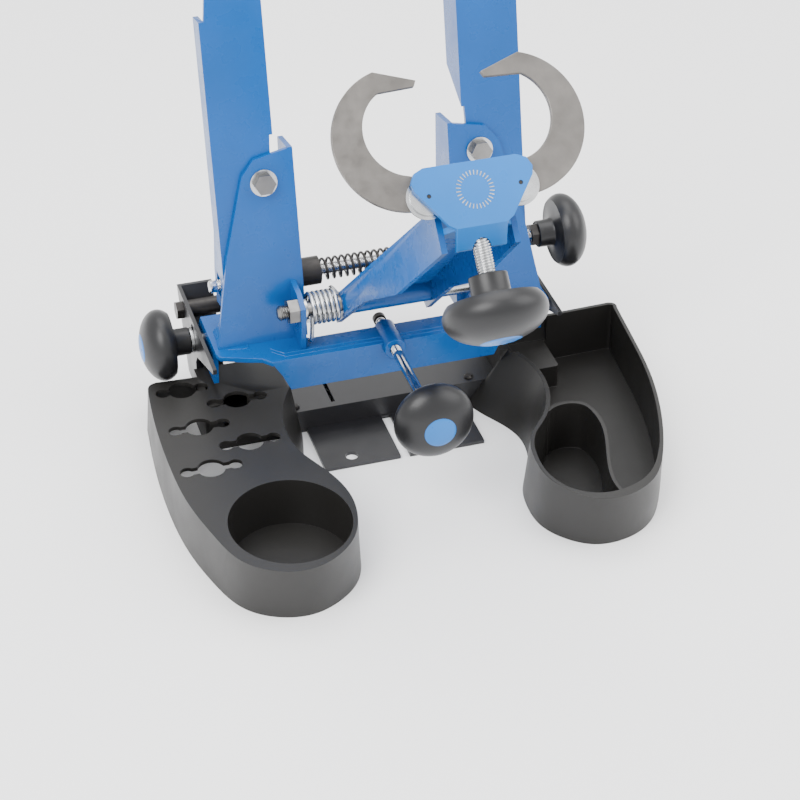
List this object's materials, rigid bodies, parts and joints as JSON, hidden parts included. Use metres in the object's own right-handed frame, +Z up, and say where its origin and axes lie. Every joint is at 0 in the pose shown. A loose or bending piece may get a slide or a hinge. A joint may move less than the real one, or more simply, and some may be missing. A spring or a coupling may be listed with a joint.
{
  "type": "wheel truing stand",
  "caption": "Bench stand for truing bicycle wheels: tilting base with tool trays, two upright arms, swinging caliper with paired jaws and adjusting knobs.",
  "frame": {"origin": "bench surface, midway between the two bench bolt holes of the floor flanges", "axes": "+X to the user's right, +Y away from the user, +Z up"},
  "size_m": [0.3959, 0.3997, 0.473],
  "materials": {
    "base_black": "satin black powder coat",
    "tray_plastic": "fine grained charcoal moulding",
    "blue_paint": "glossy blue powder coat",
    "head_paint": "glossy blue powder coat",
    "zinc": "zinc plated",
    "nickel": "bright plated",
    "dark_steel": "black oxide",
    "bolt_steel": "dull plated",
    "jaw_steel": "phosphated grey",
    "knob_plastic": "fine textured black"
  },
  "bodies": {
    "base": {"base_plate": "base_black", "left_side_plate": "base_black", "right_side_plate": "base_black", "plate_screws": "dark_steel", "deck_screws": "dark_steel", "left_tray": "tray_plastic", "right_tray": "tray_plastic", "tray_screws": "dark_steel", "tilt_pivots": "dark_steel", "tilt_pivot_nuts": "dark_steel"},
    "stand": {"stand_base": "blue_paint", "height_bush": "blue_paint", "left_bracket": "blue_paint", "right_bracket": "blue_paint", "arm_bolts": "bolt_steel", "arm_washers": "zinc", "arm_nuts": "bolt_steel", "caliper_axle": "bolt_steel", "axle_nuts": "bolt_steel", "axle_spacers": "zinc", "return_spring": "zinc", "width_spring": "dark_steel", "tilt_stud_nut": "dark_steel"},
    "tilt_lock": {"tilt_stud": "zinc", "tilt_knob": "knob_plastic", "tilt_washer": "zinc"},
    "left_upright": {"left_arm": "blue_paint", "left_dropout": "zinc", "left_dropout_screws": "bolt_steel", "left_trunnion": "zinc"},
    "right_upright": {"right_arm": "blue_paint", "right_dropout": "zinc", "right_dropout_screws": "bolt_steel", "right_trunnion": "zinc"},
    "width_screw": {"width_rod": "nickel", "width_collar": "dark_steel", "collar_screw": "dark_steel", "width_nut": "dark_steel", "width_knob": "knob_plastic"},
    "caliper": {"caliper_arm": "blue_paint", "arm_tongue": "blue_paint", "spring_pin": "dark_steel", "caliper_head": "head_paint", "jaw_rivets": "dark_steel", "jaw_washers": "zinc", "jaw_spacers": "zinc"},
    "left_finger": {"left_jaw": "jaw_steel"},
    "right_finger": {"right_jaw": "jaw_steel"},
    "yoke": {"jaw_yoke": "dark_steel"},
    "caliper_screw": {"caliper_rod": "zinc", "caliper_knob": "knob_plastic"},
    "height_slider": {"height_tip": "dark_steel"},
    "height_screw": {"height_rod": "nickel", "height_knob": "knob_plastic"}
  },
  "joints": [
    {"name": "base_tilt", "type": "hinge", "parent": "base", "child": "stand", "pos_m": [0, 0.134, 0.072], "axis": [-1, 0, 0], "range_deg": [0, 15]},
    {"name": "tilt_lock_turn", "type": "hinge", "parent": "stand", "child": "tilt_lock", "pos_m": [-0.14, 0.099, 0.066], "axis": [-1, 0, 0], "range_deg": [-360, 360]},
    {"name": "left_upright_swing", "type": "hinge", "parent": "stand", "child": "left_upright", "pos_m": [-0.084, 0.0742, 0.21125], "axis": [0, 0.9781, -0.2079], "range_deg": [-5, 5]},
    {"name": "right_upright_swing", "type": "hinge", "parent": "stand", "child": "right_upright", "pos_m": [0.084, 0.0742, 0.21125], "axis": [0, 0.9781, -0.2079], "range_deg": [-5, 5]},
    {"name": "width_screw_turn", "type": "hinge", "parent": "stand", "child": "width_screw", "pos_m": [0.15, 0.08, 0.124], "axis": [1, 0, 0], "range_deg": [-920, 920]},
    {"name": "caliper_swing", "type": "hinge", "parent": "stand", "child": "caliper", "pos_m": [0, 0.037, 0.119], "axis": [1, 0, 0], "range_deg": [-12, 10]},
    {"name": "left_jaw_swing", "type": "hinge", "parent": "caliper", "child": "left_finger", "pos_m": [-0.031, 0.04655, 0.12924], "axis": [0, -0.7314, 0.682], "range_deg": [-14, 7]},
    {"name": "right_jaw_swing", "type": "hinge", "parent": "caliper", "child": "right_finger", "pos_m": [0.031, 0.04655, 0.12924], "axis": [0, -0.7314, 0.682], "range_deg": [-7, 14]},
    {"name": "yoke_slide", "type": "slide", "parent": "caliper", "child": "yoke", "axis": [0, 0.682, 0.7314], "range_m": [-0.0072, 0.0036]},
    {"name": "caliper_screw_turn", "type": "hinge", "parent": "yoke", "child": "caliper_screw", "pos_m": [0, -0.20212, 0.25994], "axis": [0, 0.682, 0.7314], "range_deg": [-1300, 660]},
    {"name": "height_slide", "type": "slide", "parent": "stand", "child": "height_slider", "axis": [0, 1, 0], "range_m": [-0.0075, 0.0065]},
    {"name": "height_screw_turn", "type": "hinge", "parent": "height_slider", "child": "height_screw", "pos_m": [0, 0, 0.084], "axis": [0, 1, 0], "range_deg": [-1530, 1280]}
  ],
  "couplings": [
    {"joint": "right_upright_swing", "follows": "left_upright_swing", "ratio": -1},
    {"joint": "width_screw_turn", "follows": "left_upright_swing", "ratio": 176.72},
    {"joint": "height_slide", "follows": "caliper_swing", "m_per_rad": 0.035},
    {"joint": "height_screw_turn", "follows": "caliper_swing", "ratio": 125.66},
    {"joint": "right_jaw_swing", "follows": "left_jaw_swing", "ratio": -1},
    {"joint": "yoke_slide", "follows": "left_jaw_swing", "m_per_rad": 0.0286},
    {"joint": "caliper_screw_turn", "follows": "left_jaw_swing", "ratio": 89.85}
  ]
}
